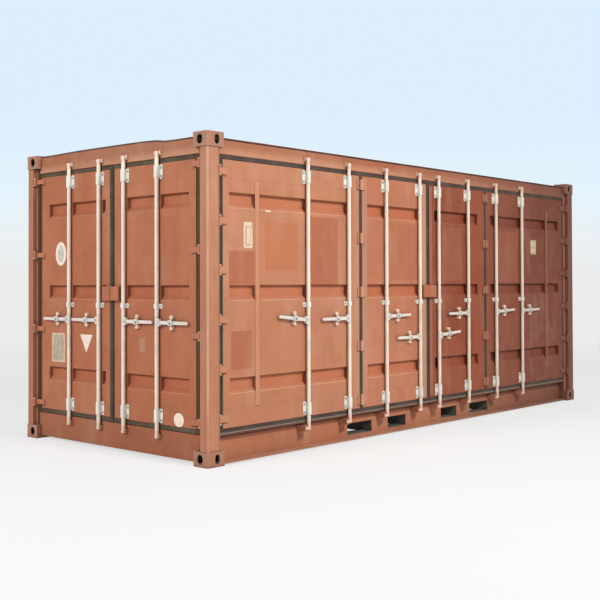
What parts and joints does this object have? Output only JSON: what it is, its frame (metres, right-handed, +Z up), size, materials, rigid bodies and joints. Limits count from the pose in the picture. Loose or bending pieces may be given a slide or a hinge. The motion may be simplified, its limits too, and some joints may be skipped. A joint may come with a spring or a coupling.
{
  "type": "shipping container",
  "caption": "Steel freight container with a folding-door side, paired end doors with turning lock bars, corrugated walls, pressed roof, fork pockets and corner castings.",
  "frame": {"origin": "bottom centre of the container, on the floor it stands on", "axes": "+Z up, +X along the length from the door end to the blind end, -Y out of the folding side"},
  "size_m": [6.058, 2.438, 2.591],
  "materials": {
    "paint": "matt weathered red-brown paint",
    "gear": "dull galvanised steel",
    "seal": "aged rubber",
    "plywood": "oiled plywood"
  },
  "bodies": {
    "shell": {"corner_castings": "paint", "corner_posts": "paint", "side_header": "paint", "door_header": "paint", "far_top_rail": "paint", "blind_header": "paint", "side_sill_rail": "paint", "far_bottom_rail": "paint", "door_sill": "paint", "blind_sill": "paint", "cross_members": "paint", "fork_pockets": "paint", "roof_panel": "paint", "far_side_wall": "paint", "blind_end_wall": "paint", "side_leaf_1": "paint", "side_leaf_2": "paint", "side_leaf_3": "paint", "side_leaf_4": "paint", "hinge_lugs": "paint", "side_hinges": "paint", "side_overlap_block": "paint", "side_seals": "seal", "floor": "plywood", "side_bar_brackets": "gear", "bar_keepers": "gear"},
    "left_door": {"door_left_leaf": "paint", "door_left_seal": "seal", "door_left_blades": "paint", "door_left_brackets": "gear"},
    "right_door": {"door_right_leaf": "paint", "door_right_seal": "seal", "door_right_blades": "paint", "door_right_brackets": "gear"},
    "side_bar_1": {"side_lock_bar_1": "gear"},
    "side_bar_2": {"side_lock_bar_2": "gear"},
    "side_bar_3": {"side_lock_bar_3": "gear"},
    "side_bar_4": {"side_lock_bar_4": "gear"},
    "side_bar_5": {"side_lock_bar_5": "gear"},
    "side_bar_6": {"side_lock_bar_6": "gear"},
    "side_bar_7": {"side_lock_bar_7": "gear"},
    "side_bar_8": {"side_lock_bar_8": "gear"},
    "end_bar_1": {"end_lock_bar_1": "gear"},
    "end_bar_2": {"end_lock_bar_2": "gear"},
    "end_bar_3": {"end_lock_bar_3": "gear"},
    "end_bar_4": {"end_lock_bar_4": "gear"}
  },
  "joints": [
    {"name": "left_door_swing", "type": "hinge", "parent": "shell", "child": "left_door", "pos_m": [-3.015, 1.113, 1.3], "axis": [0, 0, -1], "range_deg": [0, 185]},
    {"name": "right_door_swing", "type": "hinge", "parent": "shell", "child": "right_door", "pos_m": [-3.015, -1.113, 1.3], "axis": [0, 0, 1], "range_deg": [0, 185]},
    {"name": "side_bar_1_turn", "type": "hinge", "parent": "shell", "child": "side_bar_1", "pos_m": [-1.8289, -1.195, 1.3], "axis": [0, 0, -1], "range_deg": [-100, 0]},
    {"name": "side_bar_2_turn", "type": "hinge", "parent": "shell", "child": "side_bar_2", "pos_m": [-1.2709, -1.195, 1.3], "axis": [0, 0, -1], "range_deg": [-100, 0]},
    {"name": "side_bar_3_turn", "type": "hinge", "parent": "shell", "child": "side_bar_3", "pos_m": [-0.7109, -1.195, 1.3], "axis": [0, 0, 1], "range_deg": [-100, 0]},
    {"name": "side_bar_4_turn", "type": "hinge", "parent": "shell", "child": "side_bar_4", "pos_m": [-0.166, -1.195, 1.3], "axis": [0, 0, -1], "range_deg": [-100, 0]},
    {"name": "side_bar_5_turn", "type": "hinge", "parent": "shell", "child": "side_bar_5", "pos_m": [0.166, -1.195, 1.3], "axis": [0, 0, 1], "range_deg": [-100, 0]},
    {"name": "side_bar_6_turn", "type": "hinge", "parent": "shell", "child": "side_bar_6", "pos_m": [0.7109, -1.195, 1.3], "axis": [0, 0, -1], "range_deg": [-100, 0]},
    {"name": "side_bar_7_turn", "type": "hinge", "parent": "shell", "child": "side_bar_7", "pos_m": [1.2709, -1.195, 1.3], "axis": [0, 0, 1], "range_deg": [-100, 0]},
    {"name": "side_bar_8_turn", "type": "hinge", "parent": "shell", "child": "side_bar_8", "pos_m": [1.8289, -1.195, 1.3], "axis": [0, 0, 1], "range_deg": [-100, 0]},
    {"name": "end_bar_1_turn", "type": "hinge", "parent": "left_door", "child": "end_bar_1", "pos_m": [-3.005, 0.59622, 1.3], "axis": [0, 0, -1], "range_deg": [-100, 0]},
    {"name": "end_bar_2_turn", "type": "hinge", "parent": "left_door", "child": "end_bar_2", "pos_m": [-3.005, 0.16893, 1.3], "axis": [0, 0, -1], "range_deg": [-100, 0]},
    {"name": "end_bar_3_turn", "type": "hinge", "parent": "right_door", "child": "end_bar_3", "pos_m": [-3.005, -0.16893, 1.3], "axis": [0, 0, 1], "range_deg": [-100, 0]},
    {"name": "end_bar_4_turn", "type": "hinge", "parent": "right_door", "child": "end_bar_4", "pos_m": [-3.005, -0.59622, 1.3], "axis": [0, 0, 1], "range_deg": [-100, 0]}
  ]
}
